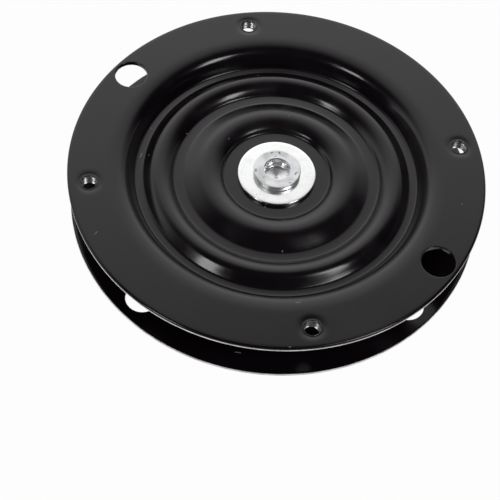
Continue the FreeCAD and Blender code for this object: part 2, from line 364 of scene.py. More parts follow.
class NodeDesk:
    """Lays out the nodes of one tree."""

    def __init__(self, tree: bpy.types.NodeTree) -> None:
        """Clear the tree."""
        self.tree = tree
        tree.nodes.clear()

    def add(self, kind: str, inputs: dict | None = None, **settings: object) -> bpy.types.Node:
        """Add a node.

        Args:
            kind: The node's type, as in ShaderNodeMath.
            inputs: For each of its sockets, a value or the socket that feeds it.
            settings: Its own properties.

        Returns:
            The node.
        """
        node = self.tree.nodes.new(kind)
        for key, value in settings.items():
            setattr(node, key, value)
        for key, value in (inputs or {}).items():
            if isinstance(value, bpy.types.NodeSocket):
                self.tree.links.new(value, node.inputs[key])
            else:
                node.inputs[key].default_value = value
        return node

    def maths(self, operation: str, first: object, second: object = 0.0, third: object = 0.0,
              clamp: bool = False) -> bpy.types.NodeSocket:
        """Add a sum on one to three values, and give its result."""
        return self.add("ShaderNodeMath", {0: first, 1: second, 2: third}, operation=operation,
                        use_clamp=clamp).outputs[0]

    def vector(self, operation: str, first: object, second: object = ORIGIN,
               out: int = 0) -> bpy.types.NodeSocket:
        """Add a sum on one or two vectors, and give its result."""
        return self.add("ShaderNodeVectorMath", {0: first, 1: second},
                        operation=operation).outputs[out]

    def span(self, value: object, low: float, high: float, to_low: float = 0.0,
             to_high: float = 1.0, kind: str = "SMOOTHSTEP") -> bpy.types.NodeSocket:
        """Carry one range of a value to another, smoothly if not told otherwise."""
        return self.add("ShaderNodeMapRange", {0: value, 1: low, 2: high, 3: to_low, 4: to_high},
                        interpolation_type=kind).outputs[0]

    def noise(self, place: object, size_mm: float, detail: float = 2.0) -> bpy.types.NodeSocket:
        """Add noise whose clouds are about as wide as a size, and give its value."""
        return self.add("ShaderNodeTexNoise", {"Vector": place, "Scale": 1.0 / (size_mm * MM),
                                               "Detail": detail}).outputs[0]

    def blend(self, share: object, first: object, second: object) -> bpy.types.NodeSocket:
        """Mix two colours by a share, and give the result."""
        return self.add("ShaderNodeMix", {0: share, 6: first, 7: second},
                        data_type="RGBA").outputs[2]

    def bump(self, height: object, depth_mm: float) -> bpy.types.NodeSocket:
        """Turn a height from 0 to 1, that deep, into a normal, and give it."""
        return self.add("ShaderNodeBump", {"Height": height, "Strength": 1.0,
                                           "Distance": depth_mm * MM}).outputs[0]

    def group(self, tree: bpy.types.NodeTree, inputs: dict, give: str) -> bpy.types.NodeSocket:
        """Place a node group with its own values, and give one of its outputs."""
        return self.add("ShaderNodeGroup", inputs, node_tree=tree).outputs[give]


def start_group(name: str, takes: dict[str, object]) -> tuple[NodeDesk, bpy.types.NodeOutputs]:
    """Start a shader node group with named inputs.

    Args:
        name: The group's name.
        takes: Its inputs, each with its default: a number, or three for a vector.

    Returns:
        The group's desk, and the sockets that give what its inputs take.
    """
    tree = bpy.data.node_groups.new(name, "ShaderNodeTree")
    for label, default in takes.items():
        kind = "NodeSocketVector" if isinstance(default, tuple) else "NodeSocketFloat"
        tree.interface.new_socket(label, in_out="INPUT", socket_type=kind).default_value = default
    desk = NodeDesk(tree)
    return desk, desk.add("NodeGroupInput").outputs


def end_group(desk: NodeDesk, gives: dict[str, bpy.types.NodeSocket]) -> bpy.types.NodeTree:
    """Give a shader node group its outputs, all of them values.

    Args:
        desk: The group's desk.
        gives: Each output's name, with the socket that feeds it.

    Returns:
        The group.
    """
    for label in gives:
        desk.tree.interface.new_socket(label, in_out="OUTPUT", socket_type="NodeSocketFloat")
    desk.add("NodeGroupOutput", gives)
    return desk.tree


class SharedEffects:
    """The node groups that several finishes use."""

    def __init__(self) -> None:
        """Make each group once."""
        self.peel = self._peel()
        self.specks = self._specks()
        self.scratch_and_glint = self._scratch_and_glint()
        self.rings = self._rings()
        self.edge_wear = self._edge_wear()

    def _peel(self) -> bpy.types.NodeTree:
        """Make the unevenness of a sprayed coat: two sizes of soft bumps, and wide clouds.

        Returns:
            The group, which gives a height and a cloud.
        """
        desk, take = start_group("coat_unevenness", {"Place": ORIGIN})
        coarse = desk.noise(take["Place"], size_mm=2.6, detail=1.0)
        fine = desk.noise(take["Place"], size_mm=0.7, detail=1.0)
        height = desk.maths("MULTIPLY_ADD", fine, 0.3, coarse)
        cloud = desk.span(desk.noise(take["Place"], size_mm=17.0, detail=3.0), 0.35, 0.68)
        return end_group(desk, {"Height": height, "Cloud": cloud})

    def _specks(self) -> bpy.types.NodeTree:
        """Make scattered specks: small discs in a few of the cells of a cell pattern.

        Returns:
            The group, which gives a mask.
        """
        desk, take = start_group("scattered_specks", {"Place": ORIGIN, "Cells per metre": 100.0,
                                                      "Radius": 0.05, "Share": 0.1})
        cells = desk.add("ShaderNodeTexVoronoi", {"Vector": take["Place"],
                                                  "Scale": take["Cells per metre"]})
        near = desk.maths("LESS_THAN", cells.outputs["Distance"], take["Radius"])
        lot = desk.add("ShaderNodeSeparateColor", {0: cells.outputs["Color"]}).outputs[0]
        chosen = desk.maths("LESS_THAN", lot, take["Share"])
        return end_group(desk, {"Mask": desk.maths("MULTIPLY", near, chosen)})

    def _scratch_and_glint(self) -> bpy.types.NodeTree:
        """Make one scratch, chip or painted glint: all that is nearer than its width to a line
        between two points.

        The nearest point of the line is found by the share of the way along it, held to 0 to 1.
        Noise added to the width makes the outline ragged.

        Returns:
            The group, which gives a mask.
        """
        desk, take = start_group("placed_scratch_and_glint", {"Place": ORIGIN, "Start": ORIGIN,
                                                    "End": ORIGIN, "Width": 0.0002})
        flat = desk.vector("MULTIPLY", take["Place"], FLATTEN)
        out = desk.vector("SUBTRACT", flat, take["Start"])
        way = desk.vector("SUBTRACT", take["End"], take["Start"])
        along = desk.maths("DIVIDE", desk.vector("DOT_PRODUCT", out, way, out=1),
                           desk.vector("DOT_PRODUCT", way, way, out=1), clamp=True)
        foot = desk.add("ShaderNodeVectorMath", {0: way, "Scale": along}, operation="SCALE")
        gap = desk.vector("DISTANCE", out, foot.outputs[0], out=1)
        ragged = desk.maths("MULTIPLY", desk.noise(flat, size_mm=0.35), take["Width"])
        inside = desk.maths("SUBTRACT", desk.maths("ADD", take["Width"], ragged),
                            desk.maths("MULTIPLY", gap, 1.5))
        return end_group(desk, {"Mask": desk.maths("DIVIDE", inside, take["Width"], clamp=True)})

    def _rings(self) -> bpy.types.NodeTree:
        """Make lathe rings: noise that depends on the distance from the axis plus the height.

        Returns:
            The group, which gives a height.
        """
        desk, take = start_group("lathe_rings", {"Place": ORIGIN, "Ring width": 0.3})
        height = desk.add("ShaderNodeSeparateXYZ", {0: take["Place"]}).outputs[2]
        radius = desk.vector("LENGTH", desk.vector("MULTIPLY", take["Place"], FLATTEN), out=1)
        width = desk.maths("MULTIPLY", take["Ring width"], MM)
        scaled = desk.maths("DIVIDE", desk.maths("ADD", radius, height), width)
        rings = desk.add("ShaderNodeTexNoise", {"W": scaled, "Scale": 1.0, "Detail": 2.0},
                         noise_dimensions="1D")
        return end_group(desk, {"Height": rings.outputs[0]})

    def _edge_wear(self) -> bpy.types.NodeTree:
        """Make worn edges: the piece's own wear values, broken up by noise.

        Returns:
            The group, which gives a mask.
        """
        desk, take = start_group("edge_wear", {"Place": ORIGIN, "Amount": 0.5})
        wear = desk.add("ShaderNodeAttribute", attribute_name="wear").outputs["Fac"]
        broken = desk.maths("MULTIPLY", wear, desk.noise(take["Place"], size_mm=1.3, detail=3.0))
        level = desk.maths("SUBTRACT", 0.8, desk.maths("MULTIPLY", take["Amount"], 0.6))
        over = desk.maths("SUBTRACT", broken, level)
        return end_group(desk, {"Mask": desk.maths("MULTIPLY", over, 9.0, clamp=True)})


def start_material(name: str) -> tuple[bpy.types.Material, NodeDesk, bpy.types.NodeSocket]:
    """Start a material on its piece's own coordinates.

    Args:
        name: The material's name.

    Returns:
        The material, its desk and the object coordinates.
    """
    material = bpy.data.materials.new(name)
    material.use_nodes = True
    desk = NodeDesk(material.node_tree)
    place = desk.add("ShaderNodeTexCoord").outputs["Object"]
    return material, desk, place


def end_material(desk: NodeDesk, shader: bpy.types.NodeSocket) -> None:
    """Feed a shader to the material's output."""
    desk.add("ShaderNodeOutputMaterial", {"Surface": shader})


# Finishes


@dataclass(frozen=True)
class NickAndGlint:
    """A chip, a scratch or a painted glint at a known place on a plate.

    Args:
        radius: Its distance from the axis, in millimetres.
        angle: Its angle round the axis, in degrees.
        length: Its length, in millimetres.
        lean: The angle of its length, in degrees.
        width: Half its width, in millimetres.
    """

    radius: float
    angle: float
    length: float
    lean: float
    width: float

    def ends(self) -> list[tuple[float, ...]]:
        """Find its two ends: its middle, less and plus half its length along its lean.

        Returns:
            The ends, in metres.
        """
        middle = polar(self.radius, math.radians(self.angle), 0.0)
        half = polar(self.length / 2, math.radians(self.lean), 0.0)
        return [tuple((middle + way * half) * MM) for way in (-1, 1)]


def add_nicks_and_glints(desk: NodeDesk, effects: SharedEffects, place: bpy.types.NodeSocket,
              marks: bpy.types.NodeSocket, nicks_and_glints: tuple[NickAndGlint, ...]) -> bpy.types.NodeSocket:
    """Add chips, scratches and painted glints to a mask of marks, where the strongest of them
    counts.

    Args:
        desk: The material's desk.
        effects: The shared node groups.
        place: The piece's own coordinates.
        marks: The mask so far.
        nicks_and_glints: The chips, scratches and painted glints.

    Returns:
        The mask with all of them.
    """
    for nick_and_glint in nicks_and_glints:
        start, end = nick_and_glint.ends()
        mask = desk.group(effects.scratch_and_glint, {"Place": place, "Start": start, "End": end,
                                            "Width": nick_and_glint.width * MM}, "Mask")
        marks = desk.maths("MAXIMUM", marks, mask)
    return marks


@dataclass(frozen=True)
class BlackEnamel:
    """Semi-gloss black enamel, baked on pressed steel and a little marked by handling.

    Args:
        name: The material's name.
        nicks_and_glints: Its chips and scratches, and its painted glints.
        coat: Its own colour.
        dusty: Its colour under a full film of dust.
        under: What shows where it is chipped or worn, and the colour of its painted glints.
        roughness: The roughness of the clean coat.
        film_roughness: What the film adds to that.
        bare_and_glint_roughness: What a chipped or worn place, or a painted glint, adds to it.
        peel_height: How uneven the coat is, in millimetres.
        wear_amount: How far the edges are worn, from 0 to 1.
    """

    name: str
    nicks_and_glints: tuple[NickAndGlint, ...]
    coat: Colour = (0.0068, 0.0042, 0.0064, 1.0)
    dusty: Colour = (0.0110, 0.0083, 0.0106, 1.0)
    under: Colour = (0.34, 0.34, 0.34, 1.0)
    roughness: float = 0.14
    film_roughness: float = 0.07
    bare_and_glint_roughness: float = 0.2
    peel_height: float = 0.004
    wear_amount: float = 0.62

    def material(self, effects: SharedEffects) -> bpy.types.Material:
        """Make the material.

        Args:
            effects: The shared node groups.

        Returns:
            The material.
        """
        material, desk, place = start_material(self.name)
        cloud = desk.group(effects.peel, {"Place": place}, "Cloud")
        height = desk.group(effects.peel, {"Place": place}, "Height")
        dust = desk.group(effects.specks, {"Place": place, "Cells per metre": 95.0,
                                           "Radius": 0.022, "Share": 0.16}, "Mask")
        worn = desk.group(effects.edge_wear, {"Place": place, "Amount": self.wear_amount}, "Mask")
        # Chips, worn edges, dust specks and the painted glints all show the under colour
        bare_and_glint = desk.maths("MAXIMUM", add_nicks_and_glints(desk, effects, place, dust, self.nicks_and_glints), worn)
        smear = desk.span(desk.noise(place, size_mm=34.0, detail=4.0), 0.42, 0.72)
        film = desk.maths("MULTIPLY", smear, cloud)
        colour = desk.blend(bare_and_glint, desk.blend(film, self.coat, self.dusty), self.under)
        rough = desk.maths("MULTIPLY_ADD", cloud, 0.05, self.roughness)
        rough = desk.maths("MULTIPLY_ADD", film, self.film_roughness, rough)
        rough = desk.maths("MULTIPLY_ADD", bare_and_glint, self.bare_and_glint_roughness, rough)
        relief = desk.maths("SUBTRACT", height, bare_and_glint)
        shader = desk.add("ShaderNodeBsdfPrincipled", {
            "Base Color": colour, "Roughness": rough, "IOR": 1.5,
            "Metallic": desk.maths("MULTIPLY", worn, 0.8),
            "Normal": desk.bump(relief, self.peel_height)})
        end_material(desk, shader.outputs[0])
        return material


@dataclass(frozen=True)
class BareMetal:
    """A metal surface without paint.

    Args:
        name: The material's name.
        colour: Its colour where it is clean.
        stain: Its colour where it is stained.
        roughness: The roughness of the clean metal.
        grain: What its making has left on it.
        ring_width: How wide the lathe's rings are, in millimetres.
        grain_height: How deep the grain is, in millimetres.
        nicks_and_glints: Its chips and scratches.
        stain_roughness: What a stain adds to the roughness.
        pit_colour: The colour of its pits and chips.
    """

    name: str
    colour: Colour
    stain: Colour
    roughness: float
    grain: MetalGrain
    ring_width: float = 0.45
    grain_height: float = 0.004
    nicks_and_glints: tuple[NickAndGlint, ...] = ()
    stain_roughness: float = 0.14
    pit_colour: Colour = (0.05, 0.05, 0.045, 1.0)

    def material(self, effects: SharedEffects) -> bpy.types.Material:
        """Make the material, with the grain that its making left.

        Args:
            effects: The shared node groups.

        Returns:
            The material.
        """
        material, desk, place = start_material(self.name)
        cloud = desk.span(desk.noise(place, size_mm=5.5, detail=3.0), 0.36, 0.7)
        if self.grain is MetalGrain.TURNED:
            height = desk.group(effects.rings, {"Place": place, "Ring width": self.ring_width},
                                "Height")
        elif self.grain is MetalGrain.SHEARED:
            stretched = desk.vector("MULTIPLY", place, (1.0, 1.0, 0.08))
            height = desk.noise(stretched, size_mm=0.5, detail=3.0)
        else:
            height = desk.noise(place, size_mm=1.6, detail=3.0)
        stained = desk.maths("MULTIPLY", cloud, desk.span(height, 0.3, 0.75, 0.35, 1.0))
        specks = desk.group(effects.specks, {"Place": place, "Cells per metre": 420.0,
                                             "Radius": 0.09, "Share": 0.05}, "Mask")
        pits = add_nicks_and_glints(desk, effects, place, specks, self.nicks_and_glints)
        colour = desk.blend(stained, self.colour, self.stain)
        colour = desk.blend(desk.maths("MULTIPLY", pits, 0.75), colour, self.pit_colour)
        rough = desk.maths("MULTIPLY_ADD", stained, self.stain_roughness, self.roughness)
        relief = desk.maths("SUBTRACT", height, pits)
        shader = desk.add("ShaderNodeBsdfPrincipled", {
            "Base Color": colour, "Roughness": rough, "Metallic": 1.0,
            "Normal": desk.bump(relief, self.grain_height)})
        end_material(desk, shader.outputs[0])
        return material


@dataclass(frozen=True)
class CageNylon:
    """Dark moulded nylon with a fine matt texture and a film of grease."""

    name: str = "cage_nylon"
    colour: Colour = (0.034, 0.034, 0.036, 1.0)
    greased: Colour = (0.052, 0.044, 0.030, 1.0)
    grit_height: float = 0.012

    def material(self) -> bpy.types.Material:
        """Make the material.

        Returns:
            The material.
        """
        material, desk, place = start_material(self.name)
        grease = desk.span(desk.noise(place, size_mm=7.0, detail=3.0), 0.4, 0.65)
        shader = desk.add("ShaderNodeBsdfPrincipled", {
            "Base Color": desk.blend(grease, self.colour, self.greased),
            "Roughness": desk.span(grease, 0.0, 1.0, 0.55, 0.3),
            "Normal": desk.bump(desk.noise(place, size_mm=0.25, detail=2.0), self.grit_height)})
        end_material(desk, shader.outputs[0])
        return material


# Sub-assemblies


@dataclass(frozen=True)
class FlangeHole:
    """A round hole in a flange.

    Args:
        kind: How it is made.
        circle_radius: Its centre's distance from the plate's axis.
        column: The column of the plate's grid that its centre lies on.
        radius: The hole's radius.
        edge: The radius that its edge in the mounting face is rounded to.
        inner_edge: How much wider than the hole its opening in the inner face is, all round.
    """

    kind: HoleKind
    circle_radius: float
    column: int
    radius: float
    edge: float
    inner_edge: float

    def mouth(self, offset: float) -> float:
        """Give the radius of its opening in the skin at an offset, edge break included."""
        return self.radius + (self.inner_edge if offset else self.edge)


@dataclass(frozen=True)
class Ridge:
    """A raised ring of the pressing, made of bends on either side of its crest and straight flanks.

    Args:
        crest: The crest's distance from the axis.
        rise: Its height above the dish's floor.
        inner_bends: For each bend from the crest inwards, the mounting skin's radius and the tilt
            in degrees that it ends at. The flank goes on at the last tilt.
        outer_bends: The same from the crest outwards.
    """

    crest: float
    rise: float
    inner_bends: tuple[tuple[float, float], ...] = ()
    outer_bends: tuple[tuple[float, float], ...] = ()

    def side(self, level: float, offset: float, way: int) -> np.ndarray:
        """Draw one side of the ridge in one skin of the sheet.

        Each bend's centre lies where the last bend ended, at the bend's radius along the normal.
        The two skins share the centres, so that the sheet keeps its thickness.

        Args:
            level: The depth of the dish's floor in the mounting skin.
            offset: The skin's distance behind the mounting skin.
            way: 1 for the outer side, or -1 for the inner side.

        Returns:
            Radius and depth of its points, in order of their radius.
        """
        centre, last, tilt = np.array([self.crest, level - self.rise]), 0.0, 0.0
        runs = []
        for radius, end in self.outer_bends if way > 0 else self.inner_bends:
            centre = centre + (radius - last) * np.array([-way * math.sin(tilt), math.cos(tilt)])
            runs.append(arc(centre, radius - offset, way * tilt - math.pi / 2,
                            way * math.radians(end) - math.pi / 2))
            last, tilt = radius, math.radians(end)
        reach = (level + offset - runs[-1][-1, 1]) / math.tan(tilt)
        runs.append(np.array([[runs[-1][-1, 0] + way * reach, level + offset]]))
        return np.vstack(runs)[::way]


@dataclass
class PressedPlate:
    """One dished plate: hub, dome, ball race, valley, rolled shoulder and flat flange.

    Lengths are in millimetres. A depth is counted from the mounting face towards the balls.

    Args:
        node: The part that it stands for.
        body: The body that it rides on.
        side: Which way its mounting face looks.
        hub_bore: The radius of the bore in its hub.
        turn: How far it is turned round the axis, in radians.
        finishes: Its materials, in the order of PlateFinish.
        holes: The holes in its flange.
    """

    node: str
    body: str
    side: Side
    hub_bore: float
    turn: float
    finishes: list[bpy.types.Material]
    holes: list[FlangeHole]
    segments: int = 240
    total_height: float = 26.0
    sheet: float = 2.0
    dish_depth: float = 9.0
    dome: Ridge = Ridge(34.3, 3.75, ((14.5, 26.5), (3.0, 57.0)), ((10.8, 24.8),))
    bead: Ridge = Ridge(57.4, 4.03, ((9.1, 55.2),), ((6.0, 38.5),))
    flange: Ridge = Ridge(81.2, 9.0, ((30.0, 10.5), (6.6, 62.0)))
    grid_start: float = 77.5
    grid_rows: int = 17
    rim: float = 99.99
    rim_roll: float = 1.3
    rim_drop: float = 1.0
    rim_break: float = 0.2
    window_half: int = 6
    window_rows: int = 9
    row_crowding: float = 1.3
    mouth_wear: float = 0.5
    thread_pitch: float = 1.25
    thread_depth: float = 0.55
    thread_rows: int = 11
    thread_lead: float = 0.18
    thread_runout: float = 0.08
    collar_wall: float = 1.2
    collar_tip: float = 6.0
    collar_break: float = 0.25
    collar_round: float = 0.3
    dimple: float = 0.34
    dimple_width: float = 1.5

    @property
    def step(self) -> float:
        """Give the angle from one column to the next."""
        return FULL_TURN / self.segments

    def skin(self, offset: float) -> np.ndarray:
        """Draw one skin of the sheet from the hub's bore to the start of the flange's grid.

        Args:
            offset: 0 for the mounting side, or the sheet's thickness for the inner side.

        Returns:
            Radius and depth of its points.
        """
        ways = ((self.dome, -1), (self.dome, 1), (self.bead, -1), (self.bead, 1), (self.flange, -1))
        line = np.vstack([[[self.hub_bore, self.dish_depth + offset]],
                          *(ridge.side(self.dish_depth, offset, way) for ridge, way in ways)])
        start = np.array([self.grid_start])
        end = np.stack([start, self.face_depth(start, offset)], axis=1)
        return np.vstack([line[line[:, 0] < self.grid_start - SEAM_GAP], end])

    def place(self, radius: np.ndarray, angle: np.ndarray, depth: np.ndarray) -> np.ndarray:
        """Set points in the model's frame, turned with the plate and as deep as its side says."""
        height = self.total_height - depth if self.side is Side.UP else depth
        return polar(radius, angle + self.turn, height)

    def band(self, profile: np.ndarray, finish: int = PlateFinish.ENAMEL,
             wear: np.ndarray | float = 0.0) -> Patch:
        """Carry a profile of radius and depth right round the axis."""
        angle = np.arange(self.segments) * self.step
        return Patch(self.place(profile[:, :1], angle, profile[:, 1:]), finish=finish, wear=wear)

    def face_depth(self, radius: np.ndarray, offset: float) -> np.ndarray:
        """Find the depth of one skin of the flange, which sags inside its flat along a wide arc.

        The depth is the wide arc's radius less the root of what is left when the square of the way
        in is taken from the square of the skin's own radius.

        Args:
            radius: Distances from the axis.
            offset: The skin's distance behind the mounting skin.

        Returns:
            The depth at each.
        """
        wide = self.flange.inner_bends[0][0]
        inwards = np.clip(self.flange.crest - radius, 0.0, None)
        return wide - np.sqrt((wide - offset) ** 2 - inwards ** 2)

    def grid_radii(self, outer: float) -> np.ndarray:
        """Space the rows of a flange's grid evenly from the shoulder to an outer radius."""
        return np.linspace(self.grid_start, outer, self.grid_rows)

    def flange_face(self, outer: float, offset: float) -> list[Patch]:
        """Make one face of the flange with its holes.

        Between the holes it is a grid of radius and angle. Round each hole a window of that grid is
        filled with rays.

        Args:
            outer: The face's outer radius.
            offset: 0 for the mounting side, or the sheet's thickness for the inner side.

        Returns:
            The patches.
        """
        radii = self.grid_radii(outer)
        depth = self.face_depth(radii, offset)[:, None]
        ordered = sorted(self.holes, key=lambda hole: hole.column)
        patches = []
        for hole, following in zip(ordered, ordered[1:] + ordered[:1]):
            first = hole.column + self.window_half
            last = following.column - self.window_half
            last += self.segments if last <= first else 0
            angle = np.arange(first, last + 1) * self.step
            patches.append(Patch(self.place(radii[:, None], angle, depth), False))
            patches.append(self.window(hole, radii, offset))
        return patches

    def border(self, hole: FlangeHole, radii: np.ndarray) -> np.ndarray:
        """Find the border of a hole's window in the plate's own plane."""
        columns = hole.column + np.arange(-self.window_half, self.window_half + 1)
        return window_border(radii, columns * self.step)

    def hole_centre(self, hole: FlangeHole) -> np.ndarray:
        """Give a hole's centre in the plate's own plane."""
        return polar(hole.circle_radius, hole.column * self.step)

    def directions(self, hole: FlangeHole) -> np.ndarray:
        """Give the directions of a hole's columns, which both faces and the wall share."""
        out = self.border(hole, self.grid_radii(self.rim - self.rim_roll)) - self.hole_centre(hole)
        return np.arctan2(out[:, 1], out[:, 0])

    def window(self, hole: FlangeHole, radii: np.ndarray, offset: float) -> Patch:
        """Fill a hole's window with rays from its mouth to the window's border.

        A point lies a share of the way from the one to the other. Near a drawn hole the face dips
        by a bell curve of the distance from the mouth.

        Args:
            hole: The hole.
            radii: The radii of the face's rows.
            offset: The skin's distance behind the mounting skin.

        Returns:
            The patch.
        """
        centre = self.hole_centre(hole)
        mouth = centre + polar(hole.mouth(offset), self.directions(hole))
        share = (np.linspace(0.0, 1.0, self.window_rows) ** self.row_crowding)[:, None, None]
        flat = mouth * (1 - share) + self.border(hole, radii) * share
        radius = np.linalg.norm(flat, axis=2)
        depth = self.face_depth(radius, offset)
        if hole.kind is HoleKind.DRAWN:
            gap = np.linalg.norm(flat - centre, axis=2) - hole.mouth(offset)
            bell = np.exp(-(gap / self.dimple_width) ** 2)
            depth = depth + self.dimple * bell * (1 - share[:, :, 0])
        grid = self.place(radius, np.arctan2(flat[..., 1], flat[..., 0]), depth)
        return Patch(grid, wear=np.where(np.arange(self.window_rows) == 0, self.mouth_wear, 0.0))

    def hole_wall(self, hole: FlangeHole) -> list[Patch]:
        """Line a hole, from its mouth in the mounting face to its mouth in the inner face."""
        return self.collar(hole) if hole.kind is HoleKind.DRAWN else [self.pierced_wall(hole)]

    def pierced_wall(self, hole: FlangeHole) -> Patch:
        """Line a pierced hole with its rounded edge, its wall and the break at the wall's foot.

        Args:
            hole: The hole.

        Returns:
            The patch.
        """
        corner = arc((hole.radius + hole.edge, hole.edge), hole.edge, -math.pi / 2, -math.pi, 5)
        foot = [[hole.radius, self.sheet - hole.inner_edge],
                [hole.radius + hole.inner_edge, self.sheet]]
        wear = np.array([0.3, 0.5, 0.62, 0.5, 0.3, 0.2, 0.4])
        return self.round_hole(hole, np.vstack([corner, foot]), wear)

    def collar(self, hole: FlangeHole) -> list[Patch]:
        """Line a drawn hole with its dipped lip and threaded bore, and make the collar's outside.

        Args:
            hole: The hole.

        Returns:
            The patches.
        """
        lip = arc((hole.radius + hole.edge, hole.edge), hole.edge, -math.pi / 2, -math.pi, 9)
        lip[:, 1] += self.dimple * np.linspace(1.0, 0.0, len(lip)) ** 2
        depths = np.arange(hole.edge, self.collar_tip - self.collar_break,
                           self.thread_pitch / self.thread_rows)
        bore = np.stack([np.full(len(depths), hole.radius), depths], axis=1)
        outside, corner = hole.radius + self.collar_wall, self.collar_round
        tip = arc((outside - corner, self.collar_tip - corner), corner, math.pi / 2, 0.0, 4)
        fillet = hole.inner_edge - self.collar_wall
        root = arc((outside + fillet, self.sheet + fillet), fillet, math.pi, 1.5 * math.pi, 6)
        root[:, 1] += self.dimple * np.linspace(0.0, 1.0, len(root)) ** 2
        shell = np.vstack([bore[-1:], [[hole.radius + self.collar_break, self.collar_tip]],
                           tip, root])
        return [self.round_hole(hole, lip, np.linspace(0.4, 1.2, len(lip))),
                self.round_hole(hole, bore, 0.3, PlateFinish.THREAD, threaded=True),
                self.round_hole(hole, shell, 0.3)]

    def thread_groove(self, depth: np.ndarray, direction: np.ndarray) -> np.ndarray:
        """Work out the thread's groove, a triangle wave of the turns.

        The turns are depth over pitch plus the angle over a full turn. The wave is cut off flat at
        its roots and crests. It fades out at both ends, over its lead and its runout, which are
        shares of the bore.

        Args:
            depth: The depth of each row, as rows by one.
            direction: The direction of each column from the hole's axis.

        Returns:
            How deep the groove is at each point.
        """
        turns = depth / self.thread_pitch + (direction + self.turn) / FULL_TURN
        wave = 1.0 - np.abs(2.0 * (turns % 1.0) - 1.0)
        share = np.linspace(0.0, 1.0, len(depth))[:, None]
        fade = np.clip(share / self.thread_lead, 0, 1) * np.clip((1 - share) / self.thread_runout,
                                                                 0, 1)
        return self.thread_depth * fade * np.clip(wave * 1.25 - 0.1, 0, 1)

    def round_hole(self, hole: FlangeHole, profile: np.ndarray, wear: np.ndarray | float,
                   finish: int = PlateFinish.ENAMEL, threaded: bool = False) -> Patch:
        """Carry a profile round a hole's own axis.

        A point is the hole's centre plus the profile's radius along the column's direction. Where
        the hole runs into the rolled shoulder, the wall is carried down with it.

        Args:
            hole: The hole.
            profile: Radius and depth of each row.
            wear: The wear of each row.
            finish: The place of its material.
            threaded: Whether a thread is cut into it.

        Returns:
            The patch.
        """
        direction, depth = self.directions(hole), profile[:, 1:]
        radius = profile[:, :1] + (self.thread_groove(depth, direction) if threaded else 0.0)
        flat = self.hole_centre(hole) + polar(radius, direction)
        from_axis = np.linalg.norm(flat, axis=2)
        share = np.clip(depth / self.sheet, 0.0, 1.0)
        sag = (self.face_depth(from_axis, 0.0) * (1 - share)
               + (self.face_depth(from_axis, self.sheet) - self.sheet) * share)
        grid = self.place(from_axis, np.arctan2(flat[..., 1], flat[..., 0]), depth + sag)
        return Patch(grid, finish=finish, wear=wear)

    def rim_bands(self, outer: float, inner: float) -> list[Patch]:
        """Make the rim: the edge rolled over by the die, the bare sheared band and its burr.

        Args:
            outer: The radius at which the mounting face rolls over.
            inner: The radius at which the inner face ends.

        Returns:
            The patches.
        """
        quarter = np.linspace(0.0, math.pi / 2, 9)
        rolled = np.stack([outer + (self.rim - outer) * np.sin(quarter),
                           self.rim_drop * (1 - np.cos(quarter))], axis=1)
        foot = [self.rim - 0.03, self.sheet - 0.16]
        sheared = np.array([[self.rim, self.rim_drop], [self.rim - 0.01, self.rim_drop + 0.35],
                            foot])
        burr = np.array([foot, [self.rim - 0.08, self.sheet - 0.05], [inner, self.sheet]])
        return [self.band(rolled, wear=np.linspace(0.0, 1.0, len(quarter)) ** 3),
                self.band(sheared, PlateFinish.SHEARED), self.band(burr, PlateFinish.SHEARED)]

    def build(self) -> bpy.types.Object:
        """Build the plate, dress it and set it on its body.

        Returns:
            The piece.
        """
        outer, inner = self.rim - self.rim_roll, self.rim - self.rim_break
        face = pick_rows(ease_creases(self.skin(0.0), window=1.8), longest=3.0, turn_degrees=6.0)
        inside = pick_rows(ease_creases(self.skin(self.sheet), window=2.0), longest=4.0,
                           turn_degrees=8.5)
        bore = np.array([[self.hub_bore, self.dish_depth + down]
                         for down in (0.0, 1.0, self.sheet)])
        patches = [self.band(face), self.band(inside), self.band(bore, wear=0.4)]
        patches += self.flange_face(outer, 0.0) + self.flange_face(inner, self.sheet)
        patches += self.rim_bands(outer, inner)
        for hole in self.holes:
            patches += self.hole_wall(hole)
        piece = make_piece(f"{self.node}_pressing", patches, self.finishes)
        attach(piece, self.body)
        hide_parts(self.node)
        return piece


